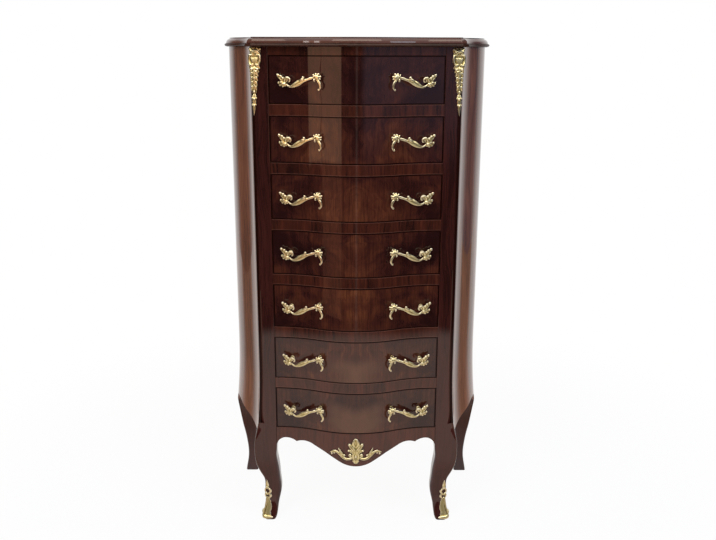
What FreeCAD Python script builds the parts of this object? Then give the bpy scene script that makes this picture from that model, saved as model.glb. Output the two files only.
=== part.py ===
import FreeCAD, Part
import math
import os

# A seven-drawer semainier with a serpentine front, swept sides, cabriole legs and gilt mounts.
# Lengths are in millimetres and angles in degrees. Shapes are drawn with y = 0 on the face of the
# front stiles, +y to the rear, +x to the right and z = 0 on the floor; they are written with the
# origin moved to the middle of the footprint.

# Case front: one opening per drawer, between rails.
drawer_count = 7
opening_height = 107.5
opening_half_width = 199.0
rail_height = 25.3
top_rail_height = 18.0
lowest_opening_floor = 256.7
bow_depth = 40.0
end_hollow_radius = 280.0

# Case sides and back.
front_half_width = 238.0
widest_half_width = 320.0
widest_from_front = 250.0
case_depth = 285.0
side_hollow_radius = 202.0
side_panel_thickness = 6.0
glue_line = 0.05
# The panels rest on the front legs a little above the lowest opening's floor. Behind the legs their
# lower edge is a short line and two arcs: distances from the front, and drops below that floor.
side_rest_above = 10.0
side_foot = [(30.0, 36.0), (42.0, 34.7), (105.0, 20.2), (165.0, -1.3), (208.0, -0.3)]
side_foot_rear_below = 30.0
flare_height = 163.3
flare_out = 11.0
flare_steps = 6
back_panel_thickness = 6.0
back_rebate = 10.0

# Top board.
front_overhang = 20.0
side_overhang = 10.6
top_corner_cut = 14.0
# Height above the underside, and inset from the widest outline, from the lower bead to the top.
top_edge_profile = [(0.0, 7.0), (1.5, 2.0), (4.0, 0.0), (6.5, 1.0), (8.0, 4.0), (9.0, 4.0), (12.5, 4.8),
                    (16.0, 7.2), (18.5, 11.0), (19.0, 13.0), (21.0, 13.0)]

# Front posts and legs. The posts' outer corners are canted, more and more so towards the knees. A leg
# station holds its height as a share of the leg, then how far it stands out of the post on the
# outside, inside, front and rear, the rounding of its corners and that of its outer front corner.
post_depth = 42.0
cant_size = 3.0
knee_cant = 14.0
cant_growth = 8.0
post_edge_round = 1.5
front_leg_stations = [(0.0, 1.0, -8.0, 8.0, -9.0, 7.0, 7.0), (0.106, 0.8, -1.4, -4.0, -4.0, 9.0, 9.0),
                      (0.221, 1.2, 5.0, -11.5, 4.0, 10.0, 10.0), (0.327, 2.0, 7.2, -12.0, 7.5, 10.0, 10.0),
                      (0.414, 6.5, 4.8, -10.5, 8.0, 10.0, 10.0), (0.5, 17.0, 3.2, -6.5, 6.8, 9.0, 9.0),
                      (0.578, 22.6, 0.5, -2.5, 4.6, 8.0, 8.0), (0.674, 24.8, -2.0, 0.0, 2.0, 6.0, 6.0),
                      (0.745, 24.7, -0.4, 0.6, 0.8, 4.0, 5.0), (0.789, 24.2, -0.2, 0.8, 0.2, 2.5, 5.0),
                      (0.847, 22.0, -0.3, 0.6, -0.3, 2.0, 7.5), (0.886, 20.0, -0.3, 0.4, -0.3, 2.0, 11.0),
                      (0.924, 18.2, -0.3, 0.2, -0.3, 2.0, 15.0), (0.962, 16.2, -0.2, 0.1, -0.2, 2.0, 17.0),
                      (1.0, 14.0, -0.1, 0.0, -0.1, 2.0, 16.0)]

# Rear posts and legs: stations of height, outside, inside, front and rounding; the rear face is flat.
rear_post_width = 36.0
rear_post_depth = 45.0
rear_leg_stations = [(0.0, -5.0, -4.0, -13.0, 5.0), (0.12, -9.5, -4.3, -13.0, 6.0),
                     (0.25, -12.5, -4.5, -11.5, 6.0), (0.39, -10.5, -4.0, -9.0, 6.0),
                     (0.53, -6.0, -2.0, -6.0, 6.0), (0.667, 0.0, 1.5, -3.0, 6.0),
                     (0.8, 4.5, 2.5, -1.0, 5.0), (0.926, 9.0, 3.0, -0.3, 4.0), (1.0, 11.0, 3.0, 0.0, 3.0)]

# Apron: points of its lower edge, as distance from the leg and drop below the lowest opening,
# each with the bulge of the arc that leads there from the point before; one arc joins the halves.
apron_thickness = 22.0
apron_edge = [(0.0, 57.7, 0.0), (24.0, 27.7, 9.2), (50.0, 36.7, 2.3), (94.0, 40.2, 5.5), (123.0, 54.7, 0.0),
              (159.0, 76.7, 0.0)]
apron_middle_drop = 87.7

# Inner frame.
runner_height = 20.0
runner_width = 27.0
guide_width = 16.0
guide_height = 12.0
rear_rail_depth = 20.0
bottom_board_thickness = 6.0
stop_width = 30.0
stop_height = 25.0
stop_from_middle = 120.0
stop_reach = 3.0

# Drawers.
drawer_side_gap = 1.0
drawer_edge_gap = 1.0
drawer_edge_bevel = 0.8
drawer_front_thickness = 20.0
drawer_side_thickness = 10.0
drawer_bottom_thickness = 5.0
drawer_bottom_lift = 8.0
groove_depth = 4.0
drawer_box_drop = 4.0
seat_gap = 0.3

# Handles: their outline from the middle, outwards and upwards, is one closed smooth curve.
handle_from_middle = 125.0
handle_standoff = 14.0
handle_thickness = 7.0
handle_outline = [(-53.0, 17.0), (-50.0, 20.0), (-38.0, 9.0), (-26.0, 8.0), (-20.0, -2.0), (-8.0, -4.0),
                  (4.0, 3.0), (10.0, 8.0), (22.0, 12.0), (36.0, 18.0), (49.0, 16.0), (52.0, 6.0),
                  (52.0, -6.0), (45.0, -18.0), (40.0, -17.0), (45.0, -6.0), (42.0, 4.0), (30.0, 6.0),
                  (14.0, -1.0), (-2.0, -11.0), (-18.0, -13.0), (-32.0, -8.0), (-44.0, -13.0),
                  (-47.0, -6.0), (-39.0, 1.0)]
outer_foot = (-31.0, 0.0)
inner_foot = (40.0, 11.0)
outer_foot_radius = 6.5
inner_foot_radius = 5.5

# Gilt mounts: each outline is a closed smooth curve. The corner mount's points are from the post's
# outer side and below the top board; the apron mount's are from the middle and below the opening.
mount_relief = 5.0
corner_mount_outline = [(-18.5, -1.0), (-4.5, -0.5), (9.0, -1.0), (9.0, -30.0), (3.5, -60.0), (1.5, -95.0),
                        (-0.5, -130.0), (-5.0, -152.0), (-8.5, -130.0), (-10.5, -95.0), (-14.5, -60.0),
                        (-18.5, -30.0)]
corner_mount_wrap = 4.0
apron_mount_outline = [(0.0, -11.0), (18.0, -24.0), (17.0, -42.0), (32.0, -47.0), (46.0, -36.0), (62.0, -44.0),
                       (44.0, -50.0), (30.0, -58.0), (11.0, -64.0), (0.0, -76.0), (-11.0, -64.0),
                       (-30.0, -58.0), (-44.0, -50.0), (-62.0, -44.0), (-46.0, -36.0), (-32.0, -47.0),
                       (-17.0, -42.0), (-18.0, -24.0)]
sabot_relief = 2.4
# Half the sabot's width across the corner of the foot, with the height it is measured at.
sabot_outline = [(24.0, 0.0), (23.0, 18.0), (14.0, 28.0), (10.0, 55.0), (7.0, 84.0), (0.0, 104.0)]

# Fasteners.
screw_radius = 2.0
screw_head_radius = 4.0
screw_head_height = 2.5
hole_clearance = 0.2
thread_clearance = 0.05
counterbore_depth = 4.0
handle_screw_engagement = 9.0
top_screw_engagement = 12.0
top_screw_spacing = 120.0
pin_radius = 0.8
pin_length = 14.0
corner_pin_drops = [25.0, 100.0]
corner_pin_inset = 5.0
apron_pin_from_middle = 38.0
apron_pin_drop = 47.0
sabot_pin_height = 62.0

# Sizes that follow from the ones above.
opening_pitch = opening_height + rail_height
case_height = lowest_opening_floor + drawer_count * opening_pitch - rail_height + top_rail_height
side_rest = lowest_opening_floor + side_rest_above
side_foot_rear = lowest_opening_floor - side_foot_rear_below
flare_top = lowest_opening_floor + flare_height
post_inset = side_panel_thickness + glue_line
post_outer = front_half_width - post_inset
bow_radius = (opening_half_width ** 2 + bow_depth ** 2) / (2 * bow_depth) - end_hollow_radius
front_turn = math.asin(opening_half_width / (end_hollow_radius + bow_radius))
side_swing = widest_half_width - front_half_width
side_run = widest_from_front - cant_size
side_swell_radius = (side_run ** 2 + side_swing ** 2) / (2 * side_swing) - side_hollow_radius
side_turn = math.asin(side_run / (side_hollow_radius + side_swell_radius))
rear_post_inner = widest_half_width - side_panel_thickness - rear_post_width
rear_post_front = case_depth - rear_post_depth
back_panel_front = case_depth - back_panel_thickness
rear_rail_front = back_panel_front - rear_rail_depth
stop_front = rear_rail_front - stop_reach
drawer_back = stop_front - seat_gap
drawer_half_width = opening_half_width - drawer_side_gap
drawer_side_inner = drawer_half_width - drawer_side_thickness
diagonal = FreeCAD.Vector(math.sqrt(0.5), -math.sqrt(0.5), 0)
front_most = bow_depth + front_overhang
middle_of_footprint = (case_depth - front_most) / 2


def at(x, y, z=0.0):
    return FreeCAD.Vector(x, y, z)


def block(x0, x1, y0, y1, z0, z1):
    return Part.makeBox(x1 - x0, y1 - y0, z1 - z0, at(x0, y0, z0))


def line(start, end):
    return Part.LineSegment(start, end).toShape()


def arc(start, middle, end):
    return Part.Arc(start, middle, end).toShape()


def mirrored(shape):
    return shape.mirror(at(0, 0), at(1, 0))


def prism(edges, direction):
    return Part.Face(Part.Wire(edges)).extrude(direction)


def smooth_outline(points):
    curve = Part.BSplineCurve()
    curve.interpolate(points, PeriodicFlag=True)
    return Part.Wire([curve.toShape()])


def opening_floor(drawer):
    """Height of the floor of an opening; drawer 1 is at the top."""
    return lowest_opening_floor + (drawer_count - drawer) * opening_pitch


def front_y(x):
    """Where the serpentine front lies at a distance x from the middle."""
    from_end = opening_half_width - abs(x)
    if abs(x) > bow_radius * math.sin(front_turn):
        return math.sqrt(end_hollow_radius ** 2 - from_end ** 2) - end_hollow_radius
    return bow_radius - bow_depth - math.sqrt(bow_radius ** 2 - x ** 2)


def front_arcs(forward, z):
    """The serpentine, moved forward square to itself: hollow, bow and hollow, left to right."""
    hollow = end_hollow_radius - forward
    bow = bow_radius + forward

    def hollow_point(turn, side):
        return at(side * (opening_half_width - hollow * math.sin(turn)),
                  hollow * math.cos(turn) - end_hollow_radius, z)

    middle = at(0, bow_radius - bow_depth - bow, z)
    ends = {side: [hollow_point(turn, side) for turn in (0, front_turn / 2, front_turn)] for side in (-1, 1)}
    return [arc(*ends[-1]), arc(ends[-1][2], middle, ends[1][2]), arc(*reversed(ends[1]))]


def serpentine_slab(forward, back_y, z0, z1, half_width):
    """A slab from the serpentine, moved forward, to a straight back."""
    corner = opening_half_width
    edges = front_arcs(forward, z0) + [
        line(at(corner, -forward, z0), at(corner, back_y, z0)),
        line(at(corner, back_y, z0), at(-corner, back_y, z0)),
        line(at(-corner, back_y, z0), at(-corner, -forward, z0))]
    slab = prism(edges, at(0, 0, z1 - z0))
    return slab.common(block(-half_width, half_width, -case_depth, case_depth, z0, z1))


def serpentine_board(forward, thickness, z0, z1, half_width):
    """A board of even thickness behind the serpentine, moved forward."""
    deep = serpentine_slab(forward, post_depth + apron_thickness, z0, z1, half_width)
    behind = serpentine_slab(forward - thickness, post_depth + apron_thickness, z0, z1, half_width)
    return deep.cut(behind)


def side_x(y, outward):
    """Half width of the side curve at y, moved outward square to itself."""
    hollow = side_hollow_radius - outward
    if y < cant_size + hollow * math.sin(side_turn):
        return front_half_width + side_hollow_radius - math.sqrt(hollow ** 2 - (y - cant_size) ** 2)
    swell = side_swell_radius + outward
    return widest_half_width - side_swell_radius + math.sqrt(swell ** 2 - (y - widest_from_front) ** 2)


def side_arcs(outward, z, shift=0.0):
    """The side curve from the front post to the back: a hollow and a swell."""
    hollow = side_hollow_radius - outward
    join_y = cant_size + hollow * math.sin(side_turn)
    stops = [cant_size, (cant_size + join_y) / 2, join_y, (join_y + case_depth) / 2, case_depth]
    points = [at(side_x(y, outward) + shift, y, z) for y in stops]
    return [arc(*points[:3]), arc(*points[2:])]


def reversed_edges(edges):
    return list(reversed(edges))


def flare_share(z):
    """0 where the sides begin to flare, and 1 at their rear lower corners."""
    return max(0.0, (flare_top - z) / (flare_top - side_foot_rear))


def lean(z):
    """How far the flare has moved a side outwards."""
    return flare_out * flare_share(z) ** 2


def flared(section, foot):
    """A solid from its level sections: straight down to the flare, then leaning out to its foot."""
    upper = Part.Face(section(flare_top)).extrude(at(0, 0, case_height - flare_top))
    heights = [flare_top + (foot - flare_top) * step / flare_steps for step in range(flare_steps + 1)]
    lower = Part.makeLoft([section(height) for height in heights], True, False)
    return upper.fuse(lower).removeSplitter()


def side_panel_section(z):
    outer = side_arcs(0.0, z, lean(z))
    inner = side_arcs(-side_panel_thickness, z, lean(z))
    front = line(inner[0].firstVertex(True).Point, outer[0].firstVertex(True).Point)
    rear = line(outer[1].lastVertex(True).Point, inner[1].lastVertex(True).Point)
    return Part.Wire(outer + [rear] + reversed_edges(inner) + [front])


def side_panel(leg):
    """The right panel: the side curve with an even thickness, cut to its foot and round the leg."""
    points = [at(0, y, lowest_opening_floor - drop) for y, drop in side_foot]
    points.append(at(0, rear_post_front, side_foot_rear))
    rear, front = at(0, rear_post_front, 0), at(0, points[0].y, 0)
    edges = [line(points[0], points[1]), arc(*points[1:4]), arc(*points[3:]), line(points[-1], rear),
             line(rear, front), line(front, points[0])]
    panel = flared(side_panel_section, side_foot_rear).cut(prism(edges, at(2 * widest_half_width, 0, 0)))
    under_rest = block(0, 2 * widest_half_width, 0, points[0].y, 0, side_rest)
    return largest(panel.cut([leg, under_rest]))


def quarter_turn(corner, to_x, to_y, size):
    """A rounded corner of a level section, from its side along x to its side along y."""
    start = corner + at(to_x * size, 0)
    end = corner + at(0, to_y * size)
    middle = corner + at(to_x, to_y) * (size * (1 - math.sqrt(0.5)))
    return arc(start, middle, end)


def soft_section(z, inner, outer, front, rear, rounding, outer_front_rounding):
    """A level rectangle with rounded corners, starting with its front edge."""
    corners = [quarter_turn(at(outer, front, z), -1, 1, outer_front_rounding),
               quarter_turn(at(outer, rear, z), -1, -1, rounding),
               quarter_turn(at(inner, rear, z), 1, -1, rounding),
               quarter_turn(at(inner, front, z), 1, 1, rounding)]
    ends = [[edge.firstVertex(True).Point, edge.lastVertex(True).Point] for edge in corners]
    edges = [line(ends[3][0], ends[0][0]), corners[0], line(ends[0][1], ends[1][1]), corners[1],
             line(ends[1][0], ends[2][0]), corners[2], line(ends[2][1], ends[3][1]), corners[3]]
    return Part.Wire(edges)


def front_post_section(z):
    """The front post: canted at its outer front corner, and fitted to the side panel's inside."""
    growth = (flare_share(z) / flare_share(lowest_opening_floor)) ** cant_growth
    cant = cant_size + (knee_cant - cant_size) * growth
    rear = post_depth - post_edge_round
    side_points = [at(side_x(y, -post_inset) + lean(z), y, z) for y in (cant, (cant + rear) / 2, rear)]
    cant_start = at(side_points[0].x - cant, 0, z)
    inner_rear = quarter_turn(at(opening_half_width, post_depth, z), 1, -1, post_edge_round)
    inner_front = quarter_turn(at(opening_half_width, 0, z), 1, 1, post_edge_round)
    outer_rear = quarter_turn(at(side_points[2].x, post_depth, z), -1, -1, post_edge_round)
    edges = [line(at(opening_half_width + post_edge_round, 0, z), cant_start),
             line(cant_start, side_points[0]),
             arc(*side_points),
             outer_rear,
             line(at(side_points[2].x - post_edge_round, post_depth, z),
                  at(opening_half_width + post_edge_round, post_depth, z)),
             inner_rear,
             line(at(opening_half_width, rear, z), at(opening_half_width, post_edge_round, z)),
             inner_front]
    return Part.Wire(edges)


def front_leg_sections(grow):
    """The right front leg's level sections from the floor up; grow makes it fatter all round."""
    sections = []
    for share, out, inwards, forward, rearward, rounding, corner in front_leg_stations:
        sections.append(soft_section(share * side_rest, opening_half_width - inwards - grow,
                                     post_outer + out + grow, -forward - grow,
                                     post_depth + rearward + grow, rounding + grow, corner + grow))
    return sections


def front_leg():
    """The right front leg, with its post above it in one piece and a rest for the side panel."""
    post = flared(front_post_section, side_rest)
    leg = Part.makeLoft(front_leg_sections(0.0), True, False)
    return post.fuse(leg).removeSplitter()


def rear_post_section(z):
    """The rear post, fitted to the side panel's inside."""
    stops = [rear_post_front, (rear_post_front + case_depth) / 2, case_depth]
    outer = [at(side_x(y, -post_inset) + lean(z), y, z) for y in stops]
    front = at(rear_post_inner, rear_post_front, z)
    rear = at(rear_post_inner, case_depth, z)
    return Part.Wire([line(front, outer[0]), arc(*outer), line(outer[2], rear), line(rear, front)])


def rear_leg():
    """The right rear post on the leg that it seats on."""
    rebate = block(0, rear_post_inner + back_rebate, back_panel_front, case_depth, side_foot_rear, case_height)
    wires = []
    for share, out, inwards, forward, rounding in rear_leg_stations:
        wires.append(soft_section(share * side_foot_rear, rear_post_inner - inwards, widest_half_width + out,
                                  rear_post_front - forward, case_depth, rounding, rounding))
    post = flared(rear_post_section, side_foot_rear).cut(rebate)
    return post.fuse(Part.makeLoft(wires, True, False)).removeSplitter()


def top_outline(inset, z):
    """The board's plan, set in from its widest: the case's plan with overhangs and cut corners."""
    forward = front_overhang - inset
    outward = side_overhang - inset
    cut = top_corner_cut - inset * (2 - math.sqrt(2))
    side_front = front_half_width + outward
    right = [at(opening_half_width, -forward, z), at(side_front - cut, -forward, z),
             at(side_front, cut - forward, z), at(side_front, cant_size, z)]
    corner = [line(right[n], right[n + 1]) for n in range(3)]
    side = side_arcs(outward, z)
    back = side[1].lastVertex(True).Point
    left = [mirrored(edge) for edge in corner + side]
    return Part.Wire(front_arcs(forward, z) + corner + side + [line(back, at(-back.x, back.y, z))]
                     + reversed_edges(left))


def top_board():
    underside = case_height
    wires = [top_outline(inset, underside + height) for height, inset in top_edge_profile]
    board = Part.makeLoft(wires, True, True)
    for x, y in top_screw_spots():
        depth = top_screw_engagement
        board = board.cut(Part.makeCylinder(screw_radius + thread_clearance, depth, at(x, y, underside)))
    return board


def top_screw_spots():
    """Screws stand in the front top rail and in the rear top rail."""
    lines = [post_depth / 2, rear_rail_front + rear_rail_depth / 2]
    return [(step * top_screw_spacing, y) for y in lines for step in (-1, 0, 1)]


def top_screw_holes():
    """Clearance holes through the top rails, counterbored from below."""
    floor = case_height - top_rail_height
    holes = []
    for x, y in top_screw_spots():
        holes.append(Part.makeCylinder(screw_radius + hole_clearance, top_rail_height, at(x, y, floor)))
        holes.append(Part.makeCylinder(screw_head_radius + hole_clearance, counterbore_depth, at(x, y, floor)))
    return holes


def screw(seat, direction, length):
    """A screw whose head stands behind its seat; the shank runs along direction."""
    shank = Part.makeCylinder(screw_radius, length, seat, direction)
    head = Part.makeCylinder(screw_head_radius, screw_head_height, seat, direction * -1)
    return shank.fuse(head).removeSplitter()


def top_screws():
    seat = case_height - top_rail_height + counterbore_depth
    length = top_rail_height - counterbore_depth + top_screw_engagement
    return [screw(at(x, y, seat), at(0, 0, 1), length) for x, y in top_screw_spots()]


def front_rail(z0, z1):
    return serpentine_slab(0.0, post_depth, z0, z1, opening_half_width)


def front_apron():
    """The shaped board under the lowest drawer; its lower edge is drawn as arcs."""
    top = lowest_opening_floor
    ahead = -case_depth
    points = [at(opening_half_width - inwards, ahead, top - drop) for inwards, drop, _ in apron_edge]
    half = [line(at(opening_half_width, ahead, top), points[0])]
    for start, end, (_, _, bulge) in zip(points, points[1:], apron_edge[1:]):
        upward = (end - start).normalize().cross(at(0, 1, 0)) * -bulge
        half.append(arc(start, (start + end) * 0.5 + upward, end) if bulge else line(start, end))
    last = points[-1]
    middle = arc(last, at(0, ahead, top - apron_middle_drop), at(-last.x, ahead, last.z))
    roof = line(at(-opening_half_width, ahead, top), at(opening_half_width, ahead, top))
    outline = half + [middle] + reversed_edges([mirrored(edge) for edge in half]) + [roof]
    board = serpentine_board(0.0, apron_thickness, 0.0, top, opening_half_width)
    return board.common(prism(outline, at(0, 2 * case_depth, 0)))


def bottom_rail():
    """The rail behind the apron, level with the lowest runners."""
    top = lowest_opening_floor
    return serpentine_slab(-apron_thickness, post_depth, top - runner_height, top, opening_half_width)


def strip_pair(x0, x1, z0, z1):
    """Two strips that run from the front frame to the rear rails, left and right."""
    strip = block(x0, x1, post_depth, rear_rail_front, z0, z1)
    return [mirrored(strip), strip]


def drawer_runners(levels):
    """Strips that the drawers slide on."""
    inner = opening_half_width - runner_width
    outer = opening_half_width + guide_width
    return sum([strip_pair(inner, outer, floor - runner_height, floor) for floor in levels], [])


def drawer_guides(levels):
    """Strips on the runners that keep the drawers straight."""
    outer = opening_half_width + guide_width
    return sum([strip_pair(opening_half_width, outer, floor, floor + guide_height) for floor in levels], [])


def rear_rail(z0, z1):
    return block(-rear_post_inner, rear_post_inner, rear_rail_front, back_panel_front, z0, z1)


def drawer_stops():
    stops = []
    for drawer in range(1, drawer_count + 1):
        floor = opening_floor(drawer)
        for side in (-1, 1):
            x = side * stop_from_middle
            stops.append(block(x - stop_width / 2, x + stop_width / 2, drawer_back + seat_gap,
                               back_panel_front, floor, floor + stop_height))
    return stops


def handle_frames(drawer):
    """For each handle: its side, and the placement of its middle on the drawer's curved face."""
    middle = opening_floor(drawer) + opening_height / 2
    from_end = opening_half_width - handle_from_middle
    yaw = math.degrees(math.asin(from_end / end_hollow_radius))
    frames = []
    for side in (-1, 1):
        spot = at(side * handle_from_middle, front_y(handle_from_middle), middle)
        frames.append((side, FreeCAD.Placement(spot, FreeCAD.Rotation(at(0, 0, 1), side * yaw))))
    return frames


def handle_feet():
    return [(outer_foot, outer_foot_radius), (inner_foot, inner_foot_radius)]


def handle(side, placement):
    """A pull: a leafy bar on two feet. The outline's negative end points away from the middle."""
    face = -handle_standoff
    points = [at(-side * x, face, z) for x, z in handle_outline]
    shape = Part.Face(smooth_outline(points)).extrude(at(0, -handle_thickness, 0))
    for (x, z), radius in handle_feet():
        foot_length = handle_standoff + handle_thickness / 2 + drawer_front_thickness / 2
        foot = Part.makeCylinder(radius, foot_length, at(-side * x, face - handle_thickness / 2, z), at(0, 1, 0))
        shape = shape.fuse(foot)
    shape = shape.removeSplitter()
    shape.Placement = placement
    return shape


def handle_screw_parts(side, placement):
    """The screws of one handle, the holes for them in the drawer front, and those in the feet."""
    seat = drawer_front_thickness - counterbore_depth
    length = seat + handle_screw_engagement
    forward = at(0, -1, 0)
    screws, front_holes, foot_holes = [], [], []
    for (x, z), _ in handle_feet():
        spot = at(-side * x, seat, z)
        screws.append(screw(spot, forward, length))
        front_holes.append(Part.makeCylinder(screw_radius + hole_clearance, length, spot, forward))
        front_holes.append(Part.makeCylinder(screw_head_radius + hole_clearance, 4 * counterbore_depth, spot,
                                             at(0, 1, 0)))
        foot_holes.append(Part.makeCylinder(screw_radius + thread_clearance, length, spot, forward))
    for shape in screws + front_holes + foot_holes:
        shape.Placement = placement
    return screws, front_holes, foot_holes


def bevelled_front(drawer):
    """A drawer front with its outer edges broken."""
    z0 = opening_floor(drawer) + drawer_edge_gap
    z1 = opening_floor(drawer) + opening_height - drawer_edge_gap
    board = serpentine_board(0.0, drawer_front_thickness, z0, z1, drawer_half_width)
    bevel = drawer_edge_bevel
    core = serpentine_board(-bevel, drawer_front_thickness - bevel, z0, z1, drawer_half_width)
    skin_top = serpentine_board(0.0, drawer_front_thickness, z0 + bevel, z1 - bevel, drawer_half_width - bevel)
    return board.common(core.fuse(skin_top)).removeSplitter()


def drawer_parts(drawer):
    """All pieces of one drawer, as a dictionary of lists of solids."""
    floor = opening_floor(drawer)
    base = floor + seat_gap
    panel_z0 = floor + drawer_bottom_lift
    panel_z1 = panel_z0 + drawer_bottom_thickness
    rim = floor + opening_height - drawer_box_drop
    front = bevelled_front(drawer)
    panel = serpentine_slab(groove_depth - drawer_front_thickness, drawer_back, panel_z0, panel_z1,
                            drawer_side_inner + groove_depth)
    front_zone = serpentine_board(0.0, drawer_front_thickness, floor, floor + opening_height, opening_half_width)
    sides = []
    for side in (-1, 1):
        board = block(drawer_side_inner, drawer_half_width, 0, drawer_back, base, rim)
        board = board if side > 0 else mirrored(board)
        sides.append(largest(board.cut(front_zone).cut(panel)))
    back = block(-drawer_side_inner, drawer_side_inner, drawer_back - drawer_side_thickness, drawer_back,
                 panel_z1, rim)
    handles, screws = [], []
    solid_front = front
    for side, placement in handle_frames(drawer):
        hand_screws, front_holes, foot_holes = handle_screw_parts(side, placement)
        pull = largest(handle(side, placement).cut(solid_front))
        handles.append(pull.cut(foot_holes))
        front = front.cut(front_holes)
        screws += hand_screws
    return {"front": [front.cut(panel)], "box": sides + [back], "bottom": [panel], "handles": handles,
            "screws": screws}


def corner_mount(leg):
    """A relief over the right post's corner, from the top board down to a point."""
    side = front_half_width + corner_mount_wrap
    behind = cant_size - seat_gap
    shell_edges = [at(opening_half_width, 0), at(opening_half_width, -mount_relief),
                   at(front_half_width, -mount_relief), at(side, 0), at(side, behind),
                   at(post_outer, behind), at(post_outer - cant_size, 0), at(opening_half_width, 0)]
    foot = case_height + min(z for _, z in corner_mount_outline) - mount_relief
    shell = Part.Face(Part.makePolygon([point + at(0, 0, foot) for point in shell_edges]))
    shell = shell.extrude(at(0, 0, case_height - foot))
    points = [at(post_outer + x, -case_depth, case_height + z) for x, z in corner_mount_outline]
    leaf = Part.Face(smooth_outline(points)).extrude(at(0, 2 * case_depth, 0))
    return shell.common(leaf).cut(leg)


def apron_mount(apron):
    """A relief on the middle of the apron."""
    skin = serpentine_board(mount_relief, mount_relief, 0.0, lowest_opening_floor, opening_half_width)
    points = [at(x, -case_depth, lowest_opening_floor + z) for x, z in apron_mount_outline]
    leaf = Part.Face(smooth_outline(points)).extrude(at(0, 2 * case_depth, 0))
    return skin.common(leaf).cut(apron)


def sabot(leg):
    """A leaf that wraps the outer front corner of the right front foot."""
    across = at(1, 1).normalize()
    start = at(post_outer, 0) - diagonal * post_depth
    right = [start + across * half + at(0, 0, height) for half, height in sabot_outline]
    left = [start - across * half + at(0, 0, height) for half, height in reversed(sabot_outline[:-1])]
    leaf = Part.Face(Part.makePolygon(right + left + [right[0]])).extrude(diagonal * (2 * post_depth))
    return Part.makeLoft(front_leg_sections(sabot_relief), True, False).common(leaf).cut(leg)


def corner_pins():
    """Head and direction of each pin of the right corner mount."""
    x = post_outer - corner_pin_inset
    return [(at(x, -mount_relief, case_height - drop), at(0, 1, 0)) for drop in corner_pin_drops]


def apron_pin():
    y = front_y(apron_pin_from_middle) - mount_relief
    return at(apron_pin_from_middle, y, lowest_opening_floor - apron_pin_drop), at(0, 1, 0)


def sabot_pin(cap):
    """A pin whose head lies where the corner's diagonal leaves the sabot."""
    inside = at(post_outer, 0, sabot_pin_height) - diagonal * post_depth
    crossing = line(inside, inside + diagonal * (2 * post_depth)).common(cap)
    head = max((vertex.Point for vertex in crossing.Vertexes), key=lambda point: point.dot(diagonal))
    return head, diagonal * -1


def pin_solid(pin, radius):
    head, direction = pin
    return Part.makeCylinder(radius, pin_length, head, direction)


def pin_holes(pins):
    return [pin_solid(pin, pin_radius + thread_clearance) for pin in pins]


def largest(shape):
    return max(shape.Solids, key=lambda solid: solid.Volume)


def carcass_nodes():
    """Every fixed piece, as a dictionary of lists of solids."""
    levels = [opening_floor(drawer) for drawer in range(1, drawer_count + 1)]
    right_leg = front_leg()
    panel = side_panel(right_leg)
    apron = front_apron().cut([right_leg, mirrored(right_leg)])
    corner = corner_mount(right_leg)
    cap = sabot(right_leg)
    relief = apron_mount(apron)
    leg_pins = corner_pins() + [sabot_pin(cap)]
    corner = corner.cut(pin_holes(leg_pins))
    cap = cap.cut(pin_holes(leg_pins))
    right_leg = right_leg.cut(pin_holes(leg_pins))
    apron_holes = pin_holes([apron_pin()])
    apron_holes += [mirrored(hole) for hole in apron_holes]
    relief = relief.cut(apron_holes)
    apron = apron.cut(apron_holes)
    pins = [pin_solid(pin, pin_radius) for pin in leg_pins + [apron_pin()]]
    holes = top_screw_holes()
    top_rail_floor = case_height - top_rail_height
    top_front = front_rail(top_rail_floor, case_height).cut(holes)
    rear_rails = [rear_rail(floor - runner_height, floor) for floor in levels]
    rear_rails.append(rear_rail(top_rail_floor, case_height).cut(holes))
    back_half = rear_post_inner + back_rebate
    back = block(-back_half, back_half, back_panel_front, case_depth, side_foot_rear, case_height)
    board_top = lowest_opening_floor - runner_height
    bottom_half = opening_half_width + guide_width
    bottom = block(-bottom_half, bottom_half, post_depth, back_panel_front,
                   board_top - bottom_board_thickness, board_top)
    bottom = bottom.cut([right_leg, mirrored(right_leg)])
    return {
        "top_board": [top_board()],
        "right_side_panel": [panel],
        "left_side_panel": [mirrored(panel)],
        "right_front_leg": [right_leg],
        "left_front_leg": [mirrored(right_leg)],
        "right_rear_leg": [rear_leg()],
        "left_rear_leg": [mirrored(rear_leg())],
        "back_panel": [back],
        "bottom_board": [bottom],
        "front_apron": [apron],
        "bottom_rail": [bottom_rail()],
        "top_front_rail": [top_front],
        "drawer_rails": [front_rail(floor - rail_height, floor) for floor in levels[:-1]],
        "rear_rails": rear_rails,
        "drawer_runners": drawer_runners(levels),
        "drawer_guides": drawer_guides(levels),
        "top_kickers": strip_pair(opening_half_width - runner_width, opening_half_width, top_rail_floor,
                                  case_height),
        "drawer_stops": drawer_stops(),
        "right_corner_mount": [corner],
        "left_corner_mount": [mirrored(corner)],
        "apron_mount": [relief],
        "right_sabot": [cap],
        "left_sabot": [mirrored(cap)],
        "mount_pins": pins + [mirrored(pin) for pin in pins],
        "top_screws": top_screws(),
    }


def write_node(name, solids):
    """One STEP file per node, with the origin moved to the middle of the footprint."""
    shape = Part.makeCompound(solids) if len(solids) > 1 else solids[0]
    shape = shape.copy()
    shape.translate(at(0, -middle_of_footprint, 0))
    shape.exportStep(os.path.join("parts", name + ".step"))


def main():
    os.makedirs("parts", exist_ok=True)
    for name, solids in carcass_nodes().items():
        write_node(name, solids)
    for drawer in range(1, drawer_count + 1):
        for piece, solids in drawer_parts(drawer).items():
            write_node(f"drawer_{drawer}_{piece}", solids)


main()
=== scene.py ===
import math

import bmesh
import bpy
from mathutils import Euler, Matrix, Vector
from mathutils.bvhtree import BVHTree


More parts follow.
